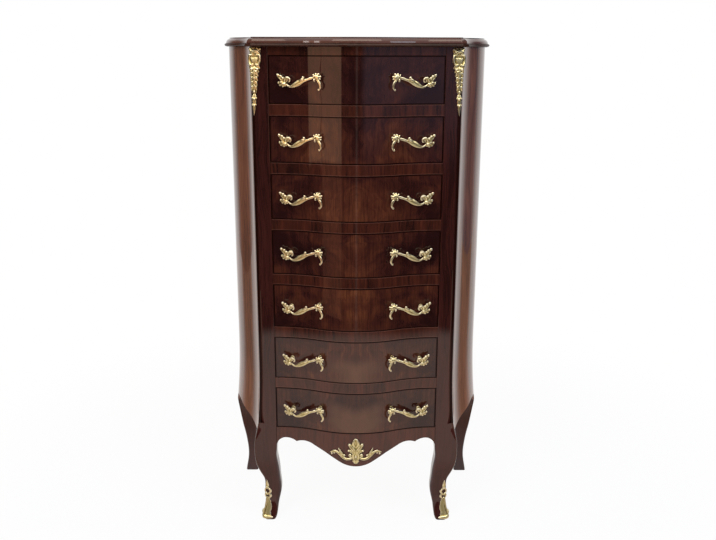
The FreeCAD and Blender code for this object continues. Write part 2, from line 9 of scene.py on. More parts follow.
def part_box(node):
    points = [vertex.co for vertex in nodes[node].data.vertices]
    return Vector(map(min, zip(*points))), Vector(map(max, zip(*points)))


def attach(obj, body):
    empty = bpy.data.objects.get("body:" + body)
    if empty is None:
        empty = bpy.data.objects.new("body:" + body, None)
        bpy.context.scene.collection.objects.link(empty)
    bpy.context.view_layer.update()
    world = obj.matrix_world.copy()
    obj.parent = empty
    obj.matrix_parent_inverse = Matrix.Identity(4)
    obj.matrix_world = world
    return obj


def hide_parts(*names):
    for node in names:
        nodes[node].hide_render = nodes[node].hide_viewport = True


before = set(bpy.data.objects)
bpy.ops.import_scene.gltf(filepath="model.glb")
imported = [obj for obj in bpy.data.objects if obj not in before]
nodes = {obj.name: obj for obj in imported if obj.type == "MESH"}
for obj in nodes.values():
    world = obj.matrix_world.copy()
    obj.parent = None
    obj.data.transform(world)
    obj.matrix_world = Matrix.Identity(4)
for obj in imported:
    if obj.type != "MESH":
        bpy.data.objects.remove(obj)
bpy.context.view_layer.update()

scene = bpy.context.scene
scene.view_settings.view_transform = "Standard"

# the case in metres: first the sizes that drive it, then what the frame gives
case = {
    "bowDepth": 0.04,          # how far the serpentine's middle stands forward of the posts' face
    "hollowRadius": 0.28,      # the hollow at each end of the serpentine
    "railHeight": 0.0253,
    "drawers": 7,
}
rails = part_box("drawer_rails")
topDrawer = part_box("drawer_1_front")
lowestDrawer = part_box(f"drawer_{case['drawers']}_front")
case["faceY"] = rails[0].y + case["bowDepth"]      # the front posts' face
case["halfOpening"] = rails[1].x
case["underTop"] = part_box("top_board")[0].z
case["lowestFloor"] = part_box("drawer_guides")[0].z
case["pitch"] = (topDrawer[0].z - lowestDrawer[0].z) / (case["drawers"] - 1)
case["openingHeight"] = case["pitch"] - case["railHeight"]


class Wire:
    # one socket of a material, so that shader maths is written as sums

    def __init__(self, finish, socket):
        self.finish = finish
        self.socket = socket

    def __add__(self, other):
        return self.finish.maths("ADD", self, other)

    def __radd__(self, other):
        return self.finish.maths("ADD", other, self)

    def __sub__(self, other):
        return self.finish.maths("SUBTRACT", self, other)

    def __rsub__(self, other):
        return self.finish.maths("SUBTRACT", other, self)

    def __mul__(self, other):
        return self.finish.maths("MULTIPLY", self, other)

    def __rmul__(self, other):
        return self.finish.maths("MULTIPLY", other, self)

    def __abs__(self):
        return self.finish.maths("ABSOLUTE", self)

    def larger(self, other):
        return self.finish.maths("MAXIMUM", self, other)

    def root(self):
        return self.finish.maths("SQRT", self)

    def fraction(self):
        return self.finish.maths("FRACT", self)

    def limited(self):
        # held between 0 and 1
        return self.finish.maths("ADD", self, 0.0, clamp=True)


class Finish:
    # a node tree, filled one node at a time

    def __init__(self, name, tree=None):
        if tree is None:
            self.material = bpy.data.materials.new(name)
            self.material.use_nodes = True
            tree = self.material.node_tree
        self.tree = tree
        tree.nodes.clear()

    def node(self, kind, settings=None, inputs=(), output=0):
        # settings first, then sockets by order or by name; gives back the wanted output
        node = self.tree.nodes.new(kind)
        for key, value in (settings or {}).items():
            if key == "stops":
                setStops(node.color_ramp, value)
            else:
                setattr(node, key, value)
        pairs = inputs.items() if isinstance(inputs, dict) else enumerate(inputs)
        for key, value in pairs:
            if isinstance(value, Wire):
                self.tree.links.new(value.socket, node.inputs[key])
            elif value is not None:
                node.inputs[key].default_value = value
        return Wire(self, node.outputs[output]) if len(node.outputs) else node

    def maths(self, operation, *values, clamp=False):
        return self.node("ShaderNodeMath", {"operation": operation, "use_clamp": clamp}, values)

    def ramp(self, factor, stops):
        return self.node("ShaderNodeValToRGB", {"stops": stops}, [factor])

    def curve(self, value, low, high):
        # 0 below low, 1 above high, smooth between
        return self.node("ShaderNodeMapRange", {"interpolation_type": "SMOOTHSTEP"},
                         {"Value": value, "From Min": low, "From Max": high})

    def mix(self, factor, a, b):
        # sockets 6 and 7 and output 2 are the colour ones
        a, b = [(*each, 1.0) if isinstance(each, tuple) else each for each in (a, b)]
        return self.node("ShaderNodeMix", {"data_type": "RGBA"}, {0: factor, 6: a, 7: b}, 2)

    def coords(self):
        return self.node("ShaderNodeTexCoord", output="Object")

    def place(self, scale, vector=None):
        # object coordinates, or those given, stretched for a pattern
        return self.node("ShaderNodeMapping", None, {"Vector": vector or self.coords(), "Scale": scale})

    def noise(self, vector, scale, detail, roughness=0.55, output=0):
        return self.node("ShaderNodeTexNoise", None,
                         {"Vector": vector, "Scale": scale, "Detail": detail, "Roughness": roughness}, output)

    def axes(self, vector):
        split = self.node("ShaderNodeSeparateXYZ", None, [vector])
        return [Wire(self, output) for output in split.socket.node.outputs]

    def vector(self, x, y, z):
        return self.node("ShaderNodeCombineXYZ", None, [x, y, z])

    def moved(self, vector, push, amount):
        # a pattern's place, pushed about by a colour
        return self.node("ShaderNodeVectorMath", {"operation": "MULTIPLY_ADD"}, [push, (amount,) * 3, vector])

    def bump(self, height, distance, strength=1.0):
        return self.node("ShaderNodeBump", None,
                         {"Height": height, "Distance": distance, "Strength": strength})

    def surface(self, **inputs):
        # the last node: the usual shader on the material's output
        named = {key.replace("_", " "): value for key, value in inputs.items()}
        shader = self.node("ShaderNodeBsdfPrincipled", None, named)
        self.node("ShaderNodeOutputMaterial", None, [shader])
        return self.material


def setStops(ramp, stops):
    while len(ramp.elements) < len(stops):
        ramp.elements.new(0.5)
    for element, (position, colour) in zip(ramp.elements, stops):
        element.position = position
        element.color = (*colour, 1.0)


# lens and sensor in millimetres, place in metres, tilt and roll in degrees
view = {"lens": 41.71, "sensor": 36.0, "place": (0.0025, -2.0225, 1.179), "tilt": 15.05, "roll": -0.18}

camera = bpy.data.objects.new("camera", bpy.data.cameras.new("camera"))
camera.data.lens = view["lens"]
camera.data.sensor_width = view["sensor"]
camera.location = view["place"]
camera.rotation_euler = Euler((math.radians(90 - view["tilt"]), math.radians(view["roll"]), 0))
scene.collection.objects.link(camera)
scene.camera = camera

studio = {
    "floorSize": 16.0,
    "floorColour": (0.90, 0.90, 0.90),
    "floorPale": (0.93, 0.93, 0.93),
    "floorGlow": 0.93,         # how much of the floor near the object shows as plain white
    "glowFar": (0.7, 1.6),     # metres over which the rest turns white
    "ambient": 0.62,
    "lampSize": 1.6,
    "lampAim": (0, 0, 0.6),
}

lamps = {
    "keyLight": {"place": (-1.6, -2.2, 3.0), "power": 46, "colour": (1, 1, 1)},
    "fillLight": {"place": (2.0, -1.6, 2.8), "power": 26, "colour": (0.74, 0.86, 1.0)},
}

cardColours = {
    "dark": (0.012, 0.007, 0.008),
    "blue": (0.25, 0.25, 0.35),
    "line": (0.40, 0.32, 0.28),
    "left": (0.20, 0.13, 0.10),
    "right": (0.10, 0.13, 0.20),
    "floor": (1.0, 0.84, 0.74),
    "floorBeside": (0.42, 0.27, 0.19),
    "back": (0.95, 0.92, 0.90),
    "window": (1.4, 0.78, 0.48),
    "windowLow": (0.50, 0.20, 0.11),
    "ceiling": (3.9, 3.45, 3.0),
}

# what the gloss mirrors. A card's patches lie over its colour in order, and each fades in where all its
# stretches say: x and y on the card, out from its middle, or behind the chest's slanting sides
cards = {
    "flatBehind": {
        "size": (5.0, 2.6), "place": (0.2, -2.35, 1.32), "turn": (90, 0, 0), "colour": "dark",
        "patches": [("blue", [("x", -0.1, 0.3), ("y", -0.85, -0.3)]),
                    ("window", [("x", -2.22, -2.27), ("y", -0.83, -0.79)]),
                    ("line", [("x", -0.28, -0.20), ("x", -0.12, -0.20)])]},
    "flatLeft": {
        "size": (5.4, 3.2), "place": (-2.3, 0.1, 1.6), "turn": (90, 0, 90), "colour": "dark",
        "patches": [("left", [("x", 0.3, 0.75)]), ("back", [("x", 1.3, 2.5)]),
                    ("window", [("x", -2.17, -2.23), ("y", -1.11, -1.07)])]},
    "flatRight": {
        "size": (5.4, 3.2), "place": (2.7, 0.1, 1.6), "turn": (90, 0, 90), "colour": "dark",
        "patches": [("right", [("x", 0.3, 0.75)]), ("back", [("x", 1.3, 2.5)])]},
    "flatFloor": {
        "size": (5.4, 6.0), "place": (0, -0.1, 0.001), "turn": (0, 0, 0), "colour": "dark",
        "patches": [("line", [("x", -0.08, 0.0), ("x", 0.08, 0.0)]), ("floor", [("out", 1.60, 1.42)]),
                    ("floorBeside", [("y", -0.3, 0.1)]), ("back", [("behind", -0.15, 0.25)])]},
    "flatCeiling": {
        "size": (10.0, 1.3), "place": (0, -1.25, 2.6), "turn": (0, 0, 0), "colour": "ceiling", "patches": []},
    "flatWindow": {
        "size": (0.137, 0.75), "place": (-0.1505, -0.3, 0.875), "turn": (90, 0, 0), "colour": "windowLow",
        "patches": [("window", [("y", 0.015, 0.035)])]},
}
chestSides = {"slant": 0.84, "from": 0.24}     # on the floor card, y grows by this much for each metre of x


def plane(name, size, place, turn, material):
    # a flat stage piece, size in metres, turned about its middle
    sheet = bmesh.new()
    bmesh.ops.create_grid(sheet, x_segments=1, y_segments=1, size=0.5)
    bmesh.ops.scale(sheet, vec=(size[0], size[1], 1), verts=sheet.verts)
    mesh = bpy.data.meshes.new(name)
    sheet.to_mesh(mesh)
    sheet.free()
    mesh.materials.append(material)
    card = bpy.data.objects.new(name, mesh)
    card.location = place
    card.rotation_euler = Euler([math.radians(angle) for angle in turn])
    scene.collection.objects.link(card)
    return card


def seenRays(finish):
    # 1 for what the camera, a gloss or a glass sees, 0 for light that falls on things
    seen = finish.node("ShaderNodeLightPath", output="Is Camera Ray")
    outputs = seen.socket.node.outputs
    for name in ("Is Glossy Ray", "Is Transmission Ray"):
        seen = seen.larger(Wire(finish, outputs[name]))
    return seen


def floorPaint():
    paint = Finish("floorPaint")
    tone = paint.ramp(paint.noise(paint.coords(), 1.3, 3),
                      [(0.3, studio["floorColour"]), (0.7, studio["floorPale"])])
    matt = paint.node("ShaderNodeBsdfDiffuse", None, [tone])
    white = paint.node("ShaderNodeEmission", None, [(1, 1, 1, 1), 1.0])
    x, y, z = paint.axes(paint.coords())
    far = paint.curve((x * x + y * y).root(), *studio["glowFar"])
    glow = far * (1 - studio["floorGlow"]) + studio["floorGlow"]
    both = paint.node("ShaderNodeMixShader", None, [seenRays(paint) * glow, matt, white])
    paint.node("ShaderNodeOutputMaterial", None, [both])
    return paint.material


def softbox(name, place, power, colour):
    light = bpy.data.lights.new(name, "AREA")
    light.color = colour
    light.shape = "RECTANGLE"
    light.size = light.size_y = studio["lampSize"]
    light.energy = power
    lamp = bpy.data.objects.new(name, light)
    lamp.location = place
    lamp.rotation_euler = (Vector(studio["lampAim"]) - Vector(place)).to_track_quat("-Z", "Y").to_euler()
    lamp.visible_camera = False
    scene.collection.objects.link(lamp)


def studioWorld():
    world = bpy.data.worlds.new("studio")
    world.use_nodes = True
    scene.world = world
    sky = Finish("studio", world.node_tree)
    strength = seenRays(sky) * (1 - studio["ambient"]) + studio["ambient"]
    shade = sky.node("ShaderNodeBackground", None, [(1, 1, 1, 1), strength])
    sky.node("ShaderNodeOutputWorld", None, [shade])


def addCard(name, size, place, turn, colour, patches):
    # a big card that only gloss sees
    paint = Finish(name)
    x, y, z = paint.axes(paint.coords())
    axes = {"x": x, "y": y}
    if any(fade[0] in ("out", "behind") for patch in patches for fade in patch[1]):
        axes["out"] = (x * x + y * y).root()
        axes["behind"] = y - chestSides["slant"] * (abs(x) - chestSides["from"])
    tone = paint.node("ShaderNodeRGB")
    tone.socket.default_value = (*cardColours[colour], 1.0)
    for patchColour, fades in patches:
        share = 1.0
        for axis, low, high in fades:
            share = share * paint.curve(axes[axis], low, high)
        tone = paint.mix(share, tone, cardColours[patchColour])
    glow = paint.node("ShaderNodeEmission", None, [tone, 1.0])
    paint.node("ShaderNodeOutputMaterial", None, [glow])
    card = plane(name, size, place, turn, paint.material)
    card.visible_camera = False
    card.visible_diffuse = False
    card.visible_shadow = False


plane("floor", (studio["floorSize"], studio["floorSize"]), (0, 0, 0), (0, 0, 0), floorPaint())
for name, lamp in lamps.items():
    softbox(name, **lamp)
studioWorld()
for name, card in cards.items():
    addCard(name, **card)
print("studio ready")

veneerLook = {
    "dark": (0.016, 0.0045, 0.0042),
    "middle": (0.034, 0.0090, 0.0070),
    "warm": (0.066, 0.0180, 0.0100),
    "bright": (0.125, 0.038, 0.0165),
    "feather": (0.150, 0.066, 0.037),
    # painted shade, for the gaps round the drawers and the crevice beside the side panels
    "paintedGapShade": (0.012, 0.003, 0.002),
    # painted highlight colour, for the rails' edges and the top board's moulding
    "paintedHighlight": (0.22, 0.095, 0.07),
    "underRoughness": 0.4,
    "coatRoughness": 0.035,
    "coatIor": 1.5,
}


def polished(wood, colour, gloss):
    # all the shine comes from the coat
    look = veneerLook
    return wood.surface(Base_Color=colour, Roughness=look["underRoughness"], Specular_IOR_Level=0.0,
                        Coat_Weight=gloss, Coat_Roughness=look["coatRoughness"], Coat_IOR=look["coatIor"])


def rowHeight(z):
    # height above the middle of the nearest drawer
    start = case["lowestFloor"] - case["railHeight"] / 2
    rows = (z - start) * (1 / case["pitch"])
    return rows.fraction() * case["pitch"] - case["pitch"] / 2


# pattern scales are along x, y and z; the rest is in metres
drawerLook = {
    "warpScale": (4, 4, 9),
    "warp": 0.16,
    "cloudScale": (7, 7, 12),
    "flameScale": (60, 20, 11),
    "grainScale": (420, 90, 18),
    "grainShare": 0.45,
    "warmLow": (1.1, 0.45),        # heights between which the drawers turn redder, downwards
    "paintedShadeHigh": (0.92, 1.05),      # and darker upwards, a painted shade
    "warmMiddle": (0.2, 0.03),     # how far from the middle they turn redder
    "featherTop": (0.53, 0.49),    # the pale feather fades in over these heights
    "featherShare": 0.6,
    "endRim": (0.0040, 0.0026),    # the rim of painted gap shade, in from the opening's ends
    "highRim": (0.0038, 0.0024),   # and from its top and bottom
    "rimDull": 0.7,                # how much gloss it loses
}


def drawerVeneer():
    # book-matched about the middle, with red-brown flames that open towards the lower drawers
    look, tones = drawerLook, veneerLook
    wood = Finish("drawerVeneer")
    x, y, z = wood.axes(wood.coords())
    folded = wood.vector(abs(x), y * 0.3, z)
    warp = wood.noise(wood.place(look["warpScale"], folded), 1.0, 3, output="Color")
    spot = wood.moved(folded, warp, look["warp"])
    clouds = wood.noise(wood.place(look["cloudScale"], spot), 1.0, 3, 0.5)
    flames = wood.noise(wood.place(look["flameScale"], spot), 1.0, 5, 0.6)
    lower = wood.curve(z, *look["warmLow"])
    # painted shade: the upper drawers are made darker
    upper = wood.curve(z, *look["paintedShadeHigh"])
    middle = wood.curve(abs(x), *look["warmMiddle"])
    tone = clouds * 0.62 + flames * 0.38 + middle * 0.08 + lower * 0.05 - upper * 0.045 - 0.06
    colour = wood.ramp(tone, [(0.38, tones["dark"]), (0.48, tones["middle"]), (0.58, tones["warm"]),
                              (0.70, tones["bright"])])
    grain = wood.curve(wood.noise(wood.place(look["grainScale"]), 1.0, 3, 0.6), 0.42, 0.62)
    colour = wood.mix(grain * look["grainShare"], colour, tones["dark"])
    # the pale feather low on the last two drawers
    row = rowHeight(z)
    sides = wood.curve(abs(x) + clouds * 0.2, 0.19, 0.09)
    rise = wood.curve(row - abs(x) * 0.4 + clouds * 0.06, 0.045, 0.005)
    feather = sides * rise * wood.curve(z, *look["featherTop"])
    colour = wood.mix(feather * look["featherShare"], colour, tones["feather"])
    # painted shade of the gaps round each drawer: a dark rim that also loses gloss
    ends = wood.curve(abs(x), *(case["halfOpening"] - inset for inset in look["endRim"]))
    high = wood.curve(abs(row), *(case["openingHeight"] / 2 - inset for inset in look["highRim"]))
    rim = ends.larger(high)
    colour = wood.mix(rim, colour, tones["paintedGapShade"])
    return polished(wood, colour, 1 - look["rimDull"] * rim)


frameLook = {
    "warpScale": (5, 5, 3),
    "warp": 0.05,
    "warmFeet": (0.5, 0.2),        # heights between which the frame turns redder, downwards
    "paintedHighlightShare": 0.36,
    "railRim": (0.0016, 0.0004),   # the painted highlight along a rail's edge, past the opening
    "sideEdge": 0.0035,            # the painted shade along a side panel's front edge, back from the posts' face
    "edgeFade": 0.0005,
    "edgeDull": 0.8,               # how much gloss that edge loses
    "beadTop": (0.0075, 0.0095),   # the dull lower bead of the top board's moulding, up from below
    "beadGloss": 0.3,
    "rimTop": (0.0205, 0.019),     # where the painted highlight on the moulding ends
}


def frameVeneer(name, dark, warm, grainScale, edge=None, paintedHighlight=False, moulded=False):
    # plain veneer of the frame, warmer towards the feet. Side panels get painted shade along their front
    # edge, rails painted highlights along their edges, and the top board a painted highlight on its moulding
    # above its dull lower bead
    look, tones = frameLook, veneerLook
    wood = Finish(name)
    x, y, z = wood.axes(wood.coords())
    warp = wood.noise(wood.place(look["warpScale"]), 1.0, 3, output="Color")
    spot = wood.moved(wood.coords(), warp, look["warp"])
    broadScale = (grainScale[0] / 6, grainScale[1] / 6, grainScale[2] / 2)
    broad = wood.noise(wood.place(broadScale, spot), 1.0, 4)
    fine = wood.noise(wood.place(grainScale, spot), 1.0, 3, 0.6)
    tone = broad * 0.5 + fine * 0.5 + wood.curve(z, *look["warmFeet"]) * 0.12
    colour = wood.ramp(tone, [(0.36, dark), (0.66, warm)])
    gloss = 1.0
    # a painted highlight along the rails' edges
    if paintedHighlight:
        rim = wood.curve(abs(rowHeight(z)), *(case["openingHeight"] / 2 + past for past in look["railRim"]))
        colour = wood.mix(rim * look["paintedHighlightShare"], colour, tones["paintedHighlight"])
    if moulded:
        above = wood.curve(z - case["underTop"], *look["beadTop"])
        gloss = look["beadGloss"] + (1 - look["beadGloss"]) * above
        # a painted highlight on the moulding above the bead
        rim = above * wood.curve(z - case["underTop"], *look["rimTop"])
        colour = wood.mix(rim * look["paintedHighlightShare"], colour, tones["paintedHighlight"])
    # painted shade in the crevice along a side panel's front edge, where it also loses gloss
    if edge:
        front = wood.curve(y, edge + look["edgeFade"], edge)
        colour = wood.mix(front, colour, tones["paintedGapShade"])
        gloss = 1 - look["edgeDull"] * front
    return polished(wood, colour, gloss)


goldLook = {
    "patina": (0.050, 0.036, 0.010),
    "shade": (0.30, 0.25, 0.078),
    "gold": (0.69, 0.62, 0.32),
    "worn": (0.88, 0.84, 0.62),
    "roughness": 0.22,
    "hollowRough": 0.30,           # what a hollow adds to it
    "patchRough": 0.12,
    "patchScale": 120.0,
    "patchShare": 0.25,
    "gritScale": 900.0,
    "gritDepth": 0.00006,
}


def ormolu():
    # gilt brass, darker in the hollows and rubbed bright on the high points
    look = goldLook
    gold = Finish("ormolu")
    hollow = gold.node("ShaderNodeAttribute", {"attribute_name": "hollow"}, output="Fac")
    patch = gold.noise(gold.coords(), look["patchScale"], 4)
    tone = gold.ramp(hollow + (patch - 0.5) * look["patchShare"],
                     [(0.18, look["worn"]), (0.36, look["gold"]), (0.62, look["shade"]),
                      (0.9, look["patina"])])
    rough = (hollow * look["hollowRough"] + patch * look["patchRough"] + look["roughness"]).limited()
    grit = gold.bump(gold.noise(gold.coords(), look["gritScale"], 2), look["gritDepth"])
    return gold.surface(Base_Color=tone, Metallic=1.0, Roughness=rough, Normal=grit)


plainWoodLook = {
    "dark": (0.26, 0.15, 0.075),
    "middle": (0.38, 0.24, 0.125),
    "pale": (0.48, 0.32, 0.175),
}


def innerWood(name, grainScale):
    # plain wood of the drawer boxes, runners and back
    look = plainWoodLook
    wood = Finish(name)
    warp = wood.noise(wood.place([each / 20 for each in grainScale]), 1.0, 2, output="Color")
    spot = wood.moved(wood.coords(), warp, 0.03)
    bands = wood.noise(wood.place([each / 5 for each in grainScale], spot), 1.0, 3)
    fine = wood.noise(wood.place(grainScale, spot), 1.0, 4)
    tone = wood.ramp(bands * 0.6 + fine * 0.4,
                     [(0.36, look["dark"]), (0.5, look["middle"]), (0.64, look["pale"])])
    return wood.surface(Base_Color=tone, Roughness=0.6, Normal=wood.bump(fine, 0.0002, 0.5))


steelLook = {"dark": (0.42, 0.41, 0.40), "pale": (0.55, 0.54, 0.52)}


def steel():
    metal = Finish("steel")
    patch = metal.noise(metal.coords(), 90.0, 3)
    tone = metal.ramp(patch, [(0.3, steelLook["dark"]), (0.7, steelLook["pale"])])
    return metal.surface(Base_Color=tone, Metallic=1.0, Roughness=0.35)


# each veneer's dark and warm colour, and how fine its grain is along x, y and z
frameFinishes = {
    "upright": {"dark": (0.016, 0.0045, 0.004), "warm": (0.050, 0.0125, 0.0095), "grainScale": (260, 260, 7)},
    "cross": {"dark": (0.016, 0.005, 0.004), "warm": (0.074, 0.0185, 0.0105), "grainScale": (180, 60, 12)},
    "side": {"dark": (0.060, 0.021, 0.013), "warm": (0.185, 0.066, 0.036), "grainScale": (160, 160, 5),
             "edge": case["faceY"] + frameLook["sideEdge"]},
    "rail": {"dark": (0.016, 0.005, 0.004), "warm": (0.074, 0.0185, 0.0105), "grainScale": (180, 60, 12),
             "paintedHighlight": True},
    "board": {"dark": (0.014, 0.005, 0.004), "warm": (0.055, 0.018, 0.011), "grainScale": (14, 200, 200),
              "moulded": True},
}

finishes = {"drawer": drawerVeneer()}
for kind, look in frameFinishes.items():
    finishes[kind] = frameVeneer(f"{kind}Veneer", **look)
finishes["inner_wood"] = innerWood("innerWood", (150, 8, 150))
finishes["back"] = innerWood("backWood", (170, 170, 5))
finishes["ormolu"] = ormolu()
finishes["steel"] = steel()

# nodes with a finish of their own; other veneered nodes are uprights
ownFinish = {
    "left_side_panel": "side",
    "right_side_panel": "side",
    "top_board": "board",
    "drawer_rails": "rail",
    "top_front_rail": "cross",
    "front_apron": "cross",
    "back_panel": "back",
}


def dressNodes():
    for name, node in nodes.items():
        kind = node.data.materials[0].name.split(".")[0]
        if name in ownFinish:
            kind = ownFinish[name]
        elif kind == "veneer":
            isDrawer = name.startswith("drawer_") and name.endswith("_front")
            kind = "drawer" if isDrawer else "upright"
        node.data.materials[0] = finishes[kind]


dressNodes()
print("finishes ready")

# the castings are drawn flat in millimetres, as x, z and rise, then laid on what carries them
castLook = {
    "leastRows": 14,           # a blade's rows along its run
    "rowsPerSpan": 7,
    "rowsPerLobe": 9,
    "leastColumns": 12,        # and its columns round its section
    "columnsPerRib": 8,
    "beadRounds": 3,
    "studSides": 28,
    "weld": 0.001,
    "endRate": 12,             # a blade closes over one part in this many of its length, at both ends
    "back": 0.7,               # how deep its back is for the height of its face
    "step": 0.02,              # how far ahead and behind its run is taken
    "flatHollow": 0.42,        # the hollow attribute on a flat stretch
    "hollowGain": 3.6,
    "easings": 3,
}


def along(points, share):
    # a place on the smooth line through the points
    last = len(points) - 1
    spot = min(max(share, 0.0), 1.0) * last
    n = min(int(spot), last - 1)
    t = spot - n
    near = [points[max(n - 1, 0)], points[n], points[n + 1], points[min(n + 2, last)]]
    return [q + 0.5 * t * (r - p + t * (2 * p - 5 * q + 4 * r - s + t * (3 * (q - r) + s - p)))
            for p, q, r, s in zip(*near)]


def blade(cast, spine, widths, heights, lobes=0, notch=0.35, ribs=0, groove=0.25):
    # a leaf, stem or scroll: an oval section led along a line, with lobed edges and a fluted face
    look = castLook
    rows = max(look["leastRows"], look["rowsPerSpan"] * (len(spine) - 1), look["rowsPerLobe"] * lobes)
    columns = max(look["leastColumns"], look["columnsPerRib"] * ribs)
    made = bmesh.ops.create_grid(cast, x_segments=columns, y_segments=rows, size=1.0)["verts"]
    sections = {}
    for vert in made:
        share = round((vert.co.y + 1) / 2, 4)
        if share not in sections:
            x, z, rise = along(spine, share)
            ahead = along(spine, share + look["step"])
            behind = along(spine, share - look["step"])
            run = Vector((ahead[0] - behind[0], ahead[1] - behind[1])).normalized()
            edge = 1.0 - notch * (1 - abs(math.sin(math.pi * lobes * share))) ** 1.5 if lobes else 1.0
            closing = math.sqrt(min(1.0, look["endRate"] * min(share, 1 - share)))
            width, height = along(list(zip(widths, heights)), share)
            width = max(width, 0.0) * edge * closing
            height = max(height, 0.0) * closing
            sections[share] = (x, z, rise, run, width, height)
        x, z, rise, run, width, height = sections[share]
        across, up = math.cos(math.pi * vert.co.x), math.sin(math.pi * vert.co.x)
        flute = 1.0 - groove * (0.5 + 0.5 * math.cos(2 * math.pi * ribs * across)) if ribs else 1.0
        lift = up * height * (flute if up > 0 else look["back"])
        vert.co = (x - run.y * across * width, rise + lift, z + run.x * across * width)


def bead(cast, x, z, rise, radius, squash=0.8):
    made = bmesh.ops.create_icosphere(cast, subdivisions=castLook["beadRounds"], radius=radius)["verts"]
    bmesh.ops.scale(cast, vec=(1, squash, 1), verts=made)
    bmesh.ops.translate(cast, vec=(x, rise, z), verts=made)


def stud(cast, x, z, radius, low, high):
    # a round post that stands on the wood
    made = bmesh.ops.create_cone(cast, cap_ends=True, segments=castLook["studSides"], radius1=radius,
                                 radius2=radius, depth=high - low)["verts"]
    upright = Euler((math.radians(-90), 0, 0)).to_matrix()
    bmesh.ops.rotate(cast, cent=(0, 0, 0), matrix=upright, verts=made)
    bmesh.ops.translate(cast, vec=(x, (low + high) / 2, z), verts=made)


def fuse(name, cast, look):
    # one skin over all the shapes, as a casting has, with its hollows marked
    bmesh.ops.remove_doubles(cast, verts=cast.verts, dist=castLook["weld"])
    bmesh.ops.recalc_face_normals(cast, faces=cast.faces)
    rough = bpy.data.meshes.new(name)
    cast.to_mesh(rough)
    cast.free()
    holder = bpy.data.objects.new(name, rough)
    scene.collection.objects.link(holder)
    skin = holder.modifiers.new("skin", "REMESH")
    skin.mode = "VOXEL"
    skin.voxel_size = look["grain"]
    bpy.context.view_layer.update()
    shown = holder.evaluated_get(bpy.context.evaluated_depsgraph_get())
    fused = bpy.data.meshes.new_from_object(shown)
    bpy.data.objects.remove(holder)
    bpy.data.meshes.remove(rough)
    form = bmesh.new()
    form.from_mesh(fused)
    bpy.data.meshes.remove(fused)
    for step in range(look["softening"]):
        bmesh.ops.smooth_vert(form, verts=form.verts, factor=0.5,
                              use_axis_x=True, use_axis_y=True, use_axis_z=True)
    form.normal_update()
    markHollows(form, look["grain"])
    return form


def markHollows(form, grain):
    # how far each point lies below its neighbours, eased and brought between 0 and 1
    layer = form.verts.layers.float.new("hollow")
    for vert in form.verts:
        ring = [edge.other_vert(vert).co for edge in vert.link_edges]
        middle = sum(ring, Vector()) / len(ring)
        vert[layer] = (middle - vert.co).dot(vert.normal) / grain
    for step in range(castLook["easings"]):
        eased = {}
        for vert in form.verts:
            ring = [edge.other_vert(vert)[layer] for edge in vert.link_edges]
            eased[vert] = 0.5 * vert[layer] + 0.5 * sum(ring) / len(ring)
        for vert, value in eased.items():
            vert[layer] = value
    for vert in form.verts:
        vert[layer] = min(max(castLook["flatHollow"] + castLook["hollowGain"] * vert[layer], 0.0), 1.0)


def laid(form, layOn, mirrored=False):
    # a copy of a casting, laid on its carrier; layOn turns flat x, rise, z into metres
    copy = form.copy()
    for vert in copy.verts:
        vert.co = layOn(*vert.co)
        if mirrored:
            vert.co.x = -vert.co.x
    if mirrored:
        bmesh.ops.reverse_faces(copy, faces=copy.faces)
    return copy


def addPiece(name, forms, body, replaced):
    # the laid castings as one gilt piece, which rides on a body and stands for a CAD node
    whole = bmesh.new()
    for form in forms:
        part = bpy.data.meshes.new(name)
        form.to_mesh(part)
        form.free()
        whole.from_mesh(part)
        bpy.data.meshes.remove(part)
    bmesh.ops.recalc_face_normals(whole, faces=whole.faces)
    for face in whole.faces:
        face.smooth = True
    mesh = bpy.data.meshes.new(name)
    whole.to_mesh(mesh)
    whole.free()
    mesh.materials.append(finishes["ormolu"])
    piece = bpy.data.objects.new(name, mesh)
    scene.collection.objects.link(piece)
    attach(piece, body)
    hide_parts(*replaced)


handleLook = {
    "fromMiddle": 0.125,       # metres from the drawer's middle to each pull's
    "grain": 0.75,
    "softening": 2,
    "feet": ((-31, 0, 4.6), (40, 9.6, 4.2)),     # x, z and radius
    "footTop": 15.5,
    "flangeTop": 2.6,
    "flangeOut": 1.2,
    "seat": -1.5,              # how deep the feet stand in the wood
}


